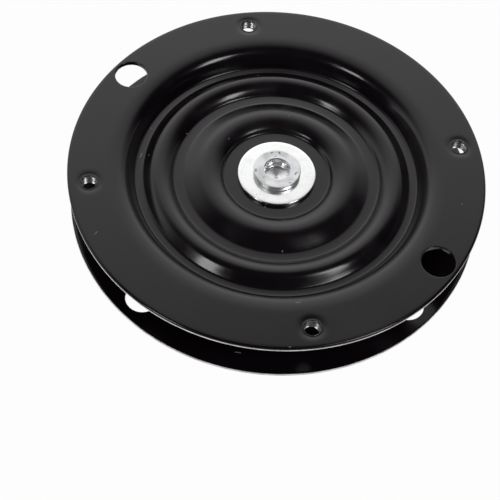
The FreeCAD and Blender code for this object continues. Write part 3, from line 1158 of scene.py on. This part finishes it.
@dataclass
class PivotStack:
    """The riveted pivot: a headed rivet, a bush round it and two wide washers.

    Lengths are in millimetres. A washer is placed by the height of its underside, and a round is
    the radius of a rounded edge.
    """

    rivet_finish: bpy.types.Material
    socket_finish: bpy.types.Material
    washer_finish: bpy.types.Material
    bush_finish: bpy.types.Material
    segments: int = 160
    shank: float = 6.0
    bush_wall: float = 2.0
    bush_clearance: float = 0.05
    bush_foot: float = 11.0
    upper_washer: float = 17.1
    lower_washer: float = 7.0
    washer_radius: float = 18.95
    washer_bore: float = 6.5
    washer_thickness: float = 2.0
    rolled_edge: float = 0.55
    square_edge: float = 0.2
    head_radius: float = 11.4
    head_height: float = 3.0
    head_round: float = 0.45
    head_foot_round: float = 0.4
    socket_radius: float = 5.7
    mouth_radius: float = 6.35
    mouth_round: float = 0.22
    socket_floor: float = 5.1
    socket_tip: float = 0.95
    factory_radius: float = 11.0
    factory_height: float = 3.2
    factory_round: float = 1.4

    def build(self) -> list[bpy.types.Object]:
        """Build the rivet, the washers and the bush.

        Returns:
            The pieces.
        """
        made = [("pivot_rivet", "rivet_zinc", self.rivet()),
                ("top_washer", "washer_zinc",
                 self.washer("top_washer", self.upper_washer, rolled_up=True)),
                ("bottom_washer", "washer_zinc",
                 self.washer("bottom_washer", self.lower_washer, rolled_up=False)),
                ("pivot_bush", "bush_steel", self.bush())]
        for node, slot, piece in made:
            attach(piece, "base")
            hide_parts(node)
        return [piece for _, _, piece in made]

    def turned(self, outline: np.ndarray, longest: float, finish: int = 0) -> Patch:
        """Turn an outline of radius and height round the axis, with its long edges split."""
        return Patch(lathe(split_long_edges(outline, longest), self.segments), finish=finish)

    def washer(self, node: str, under: float, rolled_up: bool) -> bpy.types.Object:
        """Turn a washer whose punched edge is rolled on one side and square on the other.

        Args:
            node: The part that it stands for.
            under: The height of its underside.
            rolled_up: Whether the rolled edge is on top.

        Returns:
            The piece.
        """
        top = under + self.washer_thickness
        high, low = self.rolled_edge, self.square_edge
        if not rolled_up:
            high, low = low, high
        outline = np.vstack([
            [[self.washer_bore, under + 0.15], [self.washer_bore + 0.15, under]],
            arc((self.washer_radius - low, under + low), low, -math.pi / 2, 0.0, 6),
            arc((self.washer_radius - high, top - high), high, 0.0, math.pi / 2, 8),
            [[self.washer_bore + 0.3, top], [self.washer_bore, top - 0.3],
             [self.washer_bore, under + 0.15]]])
        return make_piece(f"{node}_pressing", [self.turned(outline, 1.5)], [self.washer_finish])

    def rivet(self) -> bpy.types.Object:
        """Turn the rivet: factory head, shank, and the head formed round the drilled socket.

        Returns:
            The piece.
        """
        foot = self.lower_washer - self.factory_height
        seat = self.upper_washer + self.washer_thickness
        top = seat + self.head_height
        corner, brim, lip = self.factory_round, self.head_round, self.mouth_round
        outside = np.vstack([
            [[0.0, foot]],
            arc((self.factory_radius - corner, foot + corner), corner, -math.pi / 2, 0.0, 9),
            [[self.factory_radius, self.lower_washer], [self.shank, self.lower_washer],
             [self.shank, seat], [self.head_radius - 0.25, seat]],
            arc((self.head_radius - self.head_foot_round, seat + 0.6), self.head_foot_round,
                -0.6, 0.0, 4),
            arc((self.head_radius - brim, top - brim), brim, 0.0, math.pi / 2, 7),
            [[self.head_radius - 1.7, top - 0.02], [self.mouth_radius + 1.2, top - 0.05],
             [self.mouth_radius + 0.25, top]],
            arc((self.mouth_radius + 0.2, top - lip), lip, math.pi / 2, 0.8 * math.pi, 4)])
        floor = top - self.socket_floor
        socket = np.array([
            outside[-1], [self.socket_radius + 0.15, top - 1.1],
            [self.socket_radius, top - 1.5], [self.socket_radius - 0.06, floor + 0.3],
            [self.socket_radius - 0.35, floor], [1.0, floor - self.socket_tip + 0.2],
            [0.0, floor - self.socket_tip]])
        return make_piece("pivot_rivet_turned", [self.turned(outside, 1.2),
                                                 self.turned(socket, 0.6, finish=1)],
                          [self.rivet_finish, self.socket_finish])

    def bush(self) -> bpy.types.Object:
        """Turn the bush, a plain sleeve between the lower hub and the upper washer.

        Returns:
            The piece.
        """
        inner, outer = self.shank + self.bush_clearance, self.shank + self.bush_wall
        top = self.upper_washer
        outline = np.array([[inner, self.bush_foot], [outer - 0.2, self.bush_foot],
                            [outer, self.bush_foot + 0.2], [outer, top - 0.3], [outer - 0.3, top],
                            [inner + 0.2, top], [inner, top - 0.2], [inner, self.bush_foot]])
        return make_piece("pivot_bush_turned", [self.turned(outline, 1.5)], [self.bush_finish])


@dataclass
class BallRing:
    """The ring of balls in their cage, in millimetres."""

    ball_finish: bpy.types.Material
    cage_finish: bpy.types.Material
    ball_count: int = 14
    ball_radius: float = 5.55
    pitch: float = 57.3076
    middle: float = 13.0
    cage_thickness: float = 2.4
    pocket_clearance: float = 0.2
    inner_web: float = 3.0
    outer_web: float = 2.95
    edge_break: float = 0.5
    pocket_break: float = 0.25
    columns_each: int = 20
    window_half: int = 8
    window_rows: int = 5
    row_crowding: float = 1.2
    rows: int = 8
    ball_rows: int = 29
    ball_columns: int = 56

    def build(self) -> list[bpy.types.Object]:
        """Build the balls and their cage.

        Returns:
            The pieces.
        """
        return [self.cage()] + [self.ball(number) for number in range(self.ball_count)]

    @property
    def pocket(self) -> float:
        """Give the radius of a pocket of the cage."""
        return self.ball_radius + self.pocket_clearance

    def ball(self, number: int) -> bpy.types.Object:
        """Make one ball, each point its radius out along a direction of longitude and latitude.

        Args:
            number: Which ball it is, counted from 0.

        Returns:
            The piece.
        """
        latitude = np.linspace(-math.pi / 2, math.pi / 2, self.ball_rows)
        profile = polar(self.ball_radius, latitude)
        profile[[0, -1], 0] = 0.0
        centre = polar(self.pitch, number * FULL_TURN / self.ball_count, self.middle)
        surface = Patch(lathe(profile, self.ball_columns) + centre)
        piece = make_piece(f"bearing_ball_{number + 1:02d}", [surface], [self.ball_finish])
        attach(piece, "ball_ring")
        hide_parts(f"ball_{number + 1:02d}")
        return piece

    def cage_edge(self, radius: float, outer: bool) -> Patch:
        """Round one edge of the cage with a quarter circle above and one below.

        Args:
            radius: The radius that both quarter circles start from.
            outer: Whether it is the outer edge.

        Returns:
            The patch.
        """
        half, corner = self.cage_thickness / 2, self.edge_break
        profile = np.vstack([arc((radius, half - corner), corner, math.pi / 2, 0.0, 6),
                             arc((radius, corner - half), corner, 0.0, -math.pi / 2, 6)])
        if not outer:
            profile[:, 0] = 2 * radius - profile[:, 0]
        profile[:, 1] += self.middle
        return Patch(lathe(profile, self.ball_count * self.columns_each))

    def cage_pocket(self, number: int, radii: np.ndarray) -> list[Patch]:
        """Make the cage round one pocket, and on to the next one.

        Round the pocket a window of the ring's polar grid is filled with rays from the pocket to
        the window's border, as round the holes of a flange.

        Args:
            number: Which pocket it is, counted from 0.
            radii: The radii of the grid's rows.

        Returns:
            The patches.
        """
        pocket, edge, half = self.pocket, self.pocket_break, self.cage_thickness / 2
        step = FULL_TURN / (self.ball_count * self.columns_each)
        column, reach = number * self.columns_each, self.window_half
        across = (column + np.arange(-reach, reach + 1)) * step
        between = (column + np.arange(reach, self.columns_each - reach + 1)) * step
        centre, border = polar(self.pitch, column * step), window_border(radii, across)
        out = border - centre
        direction = out / np.linalg.norm(out, axis=1, keepdims=True)
        share = (np.linspace(0.0, 1.0, self.window_rows) ** self.row_crowding)[:, None, None]
        flat = (centre + direction * (pocket + edge)) * (1 - share) + border * share
        patches = []
        for height in (self.middle + half, self.middle - half):
            patches.append(Patch(np.dstack([flat, np.full(flat.shape[:2], height)])))
            patches.append(Patch(polar(radii[:, None], between, height), False))
        wall = np.array([[pocket + edge, half], [pocket, half - edge], [pocket, 0.0],
                         [pocket, edge - half], [pocket + edge, -half]])
        ring = centre + wall[:, :1, None] * direction
        height = np.broadcast_to(wall[:, 1:] + self.middle, ring.shape[:2])
        return patches + [Patch(np.dstack([ring, height]))]

    def cage(self) -> bpy.types.Object:
        """Mould the cage: a flat ring with rounded edges and a round pocket for each ball.

        Returns:
            The piece.
        """
        inner = self.pitch - self.pocket - self.inner_web
        outer = self.pitch + self.pocket + self.outer_web
        radii = np.linspace(inner + self.edge_break, outer - self.edge_break, self.rows + 1)
        patches = [self.cage_edge(radii[-1], True), self.cage_edge(radii[0], False)]
        for number in range(self.ball_count):
            patches += self.cage_pocket(number, radii)
        piece = make_piece("ball_cage_moulding", patches, [self.cage_finish])
        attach(piece, "ball_ring")
        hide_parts("ball_cage")
        return piece


# Studio


@dataclass(frozen=True)
class Softbox:
    """A plain soft lamp, aimed at the bearing.

    Args:
        name: The lamp's name.
        bearing: Its direction round the axis, in degrees from the camera's right, far side 90.
        rise: Its height above the horizon, in degrees.
        distance: How far away it is, in metres.
        width: Its width, in metres.
        height: Its height, in metres.
        radiance: How bright its face is, where 1 is white.
    """

    name: str
    bearing: float
    rise: float
    distance: float
    width: float
    height: float
    radiance: float

    def build(self, camera_turn: float, target: Vector) -> bpy.types.Object:
        """Set up the lamp. A flat lamp's power is its radiance times pi times its area.

        Args:
            camera_turn: The camera's own turn round the axis, in degrees.
            target: The point that it is aimed at.

        Returns:
            The lamp.
        """
        lamp = bpy.data.lights.new(self.name, "AREA")
        lamp.shape = "RECTANGLE"
        lamp.size, lamp.size_y = self.width, self.height
        lamp.energy = self.radiance * math.pi * self.width * self.height
        holder = bpy.data.objects.new(self.name, lamp)
        angle, rise = math.radians(self.bearing + camera_turn), math.radians(self.rise)
        out = Vector((math.cos(angle) * math.cos(rise), math.sin(angle) * math.cos(rise),
                      math.sin(rise)))
        holder.matrix_world = (Matrix.Translation(target + out * self.distance)
                               @ out.to_track_quat("Z", "Y").to_matrix().to_4x4())
        bpy.context.scene.collection.objects.link(holder)
        return holder


@dataclass
class Studio:
    """The camera, the lamps, the pale floor and the sky of the studio, in metres and degrees."""

    camera_place: tuple[float, float, float] = (-0.08939, -0.32864, 0.47435)
    camera_turn: float = -13.656
    camera_rise: float = 57.095
    camera_roll: float = 5.559
    lens: float = 84.554
    sensor: float = 36.0
    clip: tuple[float, float] = (0.02, 40.0)
    aim_height: float = 0.013
    floor_radius: float = 9.0
    floor_drop: float = 0.00002
    floor_colour: Colour = (0.82, 0.82, 0.82, 1.0)
    floor_cloud: Colour = (0.80, 0.80, 0.80, 1.0)
    floor_glow: float = 0.97
    sweep_bearing: float = 106.0
    sweep_radiance: float = 1.66
    softboxes: tuple[Softbox, ...] = (
        Softbox("left_box", 223.0, 41.0, 1.5, 0.30, 0.42, 7.5),
        Softbox("right_box", 327.0, 48.0, 1.5, 0.32, 0.56, 8.0),
    )

    def build(self) -> None:
        """Set up everything."""
        self.camera()
        for softbox in self.softboxes:
            softbox.build(self.camera_turn, Vector((0.0, 0.0, self.aim_height)))
        self.floor()
        self.sky()

    def camera(self) -> bpy.types.Object:
        """Set up the camera: its back looks away from the bearing, and right and up are rolled.

        Returns:
            The camera.
        """
        turn, rise, roll = (math.radians(value) for value in
                            (self.camera_turn, self.camera_rise, self.camera_roll))
        back = Vector((math.sin(turn) * math.cos(rise), -math.cos(turn) * math.cos(rise),
                       math.sin(rise)))
        level = Vector((math.cos(turn), math.sin(turn), 0.0))
        upright = back.cross(level)
        right = level * math.cos(roll) + upright * math.sin(roll)
        up = upright * math.cos(roll) - level * math.sin(roll)
        data = bpy.data.cameras.new("photo_camera")
        data.sensor_width, data.lens = self.sensor, self.lens
        data.clip_start, data.clip_end = self.clip
        camera = bpy.data.objects.new("photo_camera", data)
        camera.matrix_world = (Matrix.Translation(self.camera_place)
                               @ Matrix((right, up, back)).transposed().to_4x4())
        bpy.context.scene.collection.objects.link(camera)
        bpy.context.scene.camera = camera
        return camera

    def floor(self) -> bpy.types.Object:
        """Lay the floor, a wide disc just under the bearing, near white with a shadow.

        Returns:
            The piece.
        """
        rings = np.array([[radius, -self.floor_drop]
                          for radius in (0.0, 0.3, 2.0, self.floor_radius)]) / MM
        material, desk, place = start_material("pale_floor")
        paths = desk.add("ShaderNodeLightPath")
        seen = desk.maths("MAXIMUM", paths.outputs["Is Camera Ray"], paths.outputs["Is Glossy Ray"])
        seen = desk.maths("MAXIMUM", seen, paths.outputs["Is Transmission Ray"])
        cloud = desk.noise(place, size_mm=220.0, detail=2.0)
        tint = desk.blend(cloud, self.floor_colour, self.floor_cloud)
        matt = desk.add("ShaderNodeBsdfDiffuse", {"Color": tint})
        glow = desk.add("ShaderNodeEmission", {"Color": WHITE, "Strength": 1.0})
        mixed = desk.add("ShaderNodeMixShader", {0: desk.maths("MULTIPLY", seen, self.floor_glow),
                                                 1: matt.outputs[0], 2: glow.outputs[0]})
        end_material(desk, mixed.outputs[0])
        floor = make_piece("studio_floor", [Patch(lathe(rings, 48))], [material])
        return floor

    def sky(self) -> None:
        """Light the sky with one wide white sweep that stands behind the bearing and leans over it.

        Its brightness depends on the angle round the level line across the sweep: it rises from the
        far horizon, stays full to about half way up and fades out before the top. It also fades
        towards both ends, and at its left end it comes further round.
        """
        world = bpy.data.worlds.new("studio_sky")
        world.use_nodes = True
        desk = NodeDesk(world.node_tree)
        way = desk.add("ShaderNodeTexCoord").outputs["Generated"]
        up = desk.add("ShaderNodeSeparateXYZ", {0: way}).outputs[2]
        bearing = math.radians(self.sweep_bearing + self.camera_turn)
        far = desk.vector("DOT_PRODUCT", way, (math.cos(bearing), math.sin(bearing), 0.0), out=1)
        left = desk.vector("DOT_PRODUCT", way, (-math.sin(bearing), math.cos(bearing), 0.0), out=1)
        round_line = desk.maths("DEGREES", desk.maths("ARCTAN2", up, far))
        round_line = desk.maths("SUBTRACT", round_line, desk.span(left, 0.5, 1.0, 0.0, 24.0))
        rising = desk.span(round_line, -6.0, 34.0, 0.1, 1.0)
        fading = desk.maths("MULTIPLY", desk.span(round_line, 35.0, 80.0, 1.0, 0.05, kind="LINEAR"),
                            desk.span(round_line, 58.0, 74.0, 1.0, 0.45))
        right_end = desk.span(left, -1.0, -0.35, 0.2, 1.0)
        left_end = desk.span(left, 0.0, 0.55, 1.0, 0.62)
        across = desk.maths("MULTIPLY", right_end, left_end)
        level = desk.maths("MULTIPLY", desk.maths("MULTIPLY", rising, fading), across)
        strength = desk.maths("MULTIPLY", level, self.sweep_radiance)
        shade = desk.add("ShaderNodeBackground", {"Color": WHITE, "Strength": strength})
        desk.add("ShaderNodeOutputWorld", {"Surface": shade.outputs[0]})
        bpy.context.scene.world = world


# The whole bearing


TOP_NICKS = (
    NickAndGlint(62.1, 89.1, 0.5, 20.0, 0.28), NickAndGlint(49.9, 143.0, 0.3, 0.0, 0.26),
    NickAndGlint(66.6, 162.8, 2.6, 60.0, 0.22), NickAndGlint(62.6, 163.2, 0.4, 0.0, 0.22),
    NickAndGlint(67.2, 147.9, 0.3, 0.0, 0.22), NickAndGlint(19.9, -115.7, 0.8, -30.0, 0.22),
    NickAndGlint(44.1, -96.2, 0.5, 70.0, 0.26), NickAndGlint(98.8, -96.7, 0.7, -10.0, 0.24),
    NickAndGlint(76.5, -93.0, 2.4, 8.0, 0.14), NickAndGlint(93.8, -162.0, 2.2, 40.0, 0.12),
    NickAndGlint(89.2, -22.1, 0.3, 0.0, 0.2), NickAndGlint(30.1, 132.1, 0.8, 40.0, 0.16),
)
# A painted glint: a light grey streak drawn like a chip on the bottom plate's flange, where only a
# glint of light shows
BASE_PAINTED_GLINT = (NickAndGlint(91.1, -110.1, 2.4, -16.0, 0.3),)
HEAD_NICKS = (
    NickAndGlint(9.9, 96.0, 0.8, 30.0, 0.5), NickAndGlint(9.7, 74.0, 0.7, 100.0, 0.6),
    NickAndGlint(10.4, 178.0, 1.2, 80.0, 0.5), NickAndGlint(9.2, -24.0, 1.3, 50.0, 0.5),
    NickAndGlint(8.3, -150.0, 0.8, 20.0, 0.24), NickAndGlint(10.0, -62.0, 0.9, 10.0, 0.34),
    NickAndGlint(7.6, 86.0, 0.8, 10.0, 0.36),
)

# Each metal's name, colour, stain, roughness and grain, then the width and height of the grain
SHEARED_STEEL = BareMetal("sheared_steel", (0.66, 0.66, 0.66, 1.0), (0.36, 0.35, 0.33, 1.0), 0.34,
                          MetalGrain.SHEARED, grain_height=0.012)
DULLED_STEEL = BareMetal("dulled_sheared_steel", (0.66, 0.66, 0.67, 1.0), (0.30, 0.30, 0.30, 1.0),
                         0.50, MetalGrain.SHEARED, grain_height=0.012)
TAPPED_STEEL = BareMetal("tapped_steel", (0.52, 0.52, 0.52, 1.0), (0.16, 0.16, 0.155, 1.0), 0.27,
                         MetalGrain.TUMBLED)
RIVET_ZINC = BareMetal("rivet_zinc", (0.90, 0.90, 0.92, 1.0), (0.60, 0.61, 0.61, 1.0), 0.40,
                       MetalGrain.TURNED, 0.6, 0.006, HEAD_NICKS)
SOCKET_ZINC = BareMetal("socket_zinc", (0.95, 0.95, 0.96, 1.0), (0.66, 0.67, 0.68, 1.0), 0.24,
                        MetalGrain.TURNED, 0.8, 0.02)
WASHER_ZINC = BareMetal("washer_zinc", (0.97, 0.98, 0.97, 1.0), (0.91, 0.93, 0.91, 1.0), 0.15,
                        MetalGrain.TUMBLED, grain_height=0.003)
BUSH_STEEL = BareMetal("bush_steel", (0.52, 0.52, 0.51, 1.0), (0.34, 0.33, 0.32, 1.0), 0.3,
                       MetalGrain.TURNED, 0.4, 0.005)
BALL_STEEL = BareMetal("ball_steel", (0.64, 0.64, 0.66, 1.0), (0.50, 0.49, 0.47, 1.0), 0.08,
                       MetalGrain.POLISHED, grain_height=0.0008)

# How far the bottom plate's holes are turned from the top plate's at rest
BASE_TURN = math.radians(35.8)


def plates(effects: SharedEffects) -> list[PressedPlate]:
    """Lay out the two plates with their holes.

    Args:
        effects: The shared node groups.

    Returns:
        The top plate and the bottom plate.
    """
    edge, dull_edge, thread = (metal.material(effects)
                               for metal in (SHEARED_STEEL, DULLED_STEEL, TAPPED_STEEL))
    quarter = PressedPlate.segments // 4
    drawn = [FlangeHole(HoleKind.DRAWN, circle_radius=90.0, column=quarter * number, radius=3.6,
                        edge=0.8, inner_edge=2.0) for number in range(4)]
    access = [FlangeHole(HoleKind.PIERCED, circle_radius=90.0, column=column, radius=8.0,
                         edge=0.4, inner_edge=0.1) for column in (90, 210)]
    clearance = [FlangeHole(HoleKind.PIERCED, circle_radius=87.5, column=quarter * number,
                            radius=8.0, edge=0.4, inner_edge=0.1) for number in range(4)]
    top = PressedPlate("top_plate", "turntable", Side.UP, 8.05, 0.0,
                       [BlackEnamel("black_enamel_top", TOP_NICKS).material(effects), edge, thread],
                       drawn + access)
    bottom = PressedPlate("bottom_plate", "base", Side.DOWN, 6.05, BASE_TURN,
                          [BlackEnamel("black_enamel_base", BASE_PAINTED_GLINT).material(effects),
                           dull_edge, thread], clearance)
    return [top, bottom]


def main() -> None:
    """Build the bearing and its studio."""
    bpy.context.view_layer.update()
    effects = SharedEffects()
    for plate in plates(effects):
        log.info("built %s", plate.build().name)
    pivot = PivotStack(*(metal.material(effects)
                         for metal in (RIVET_ZINC, SOCKET_ZINC, WASHER_ZINC, BUSH_STEEL)))
    balls = BallRing(BALL_STEEL.material(effects), CageNylon().material())
    for piece in pivot.build() + balls.build():
        log.info("built %s", piece.name)
    Studio().build()
    bpy.context.scene.view_settings.view_transform = "Standard"


if __name__ == "__main__":
    logging.basicConfig(level=logging.INFO, format="%(name)s %(message)s")
    main()
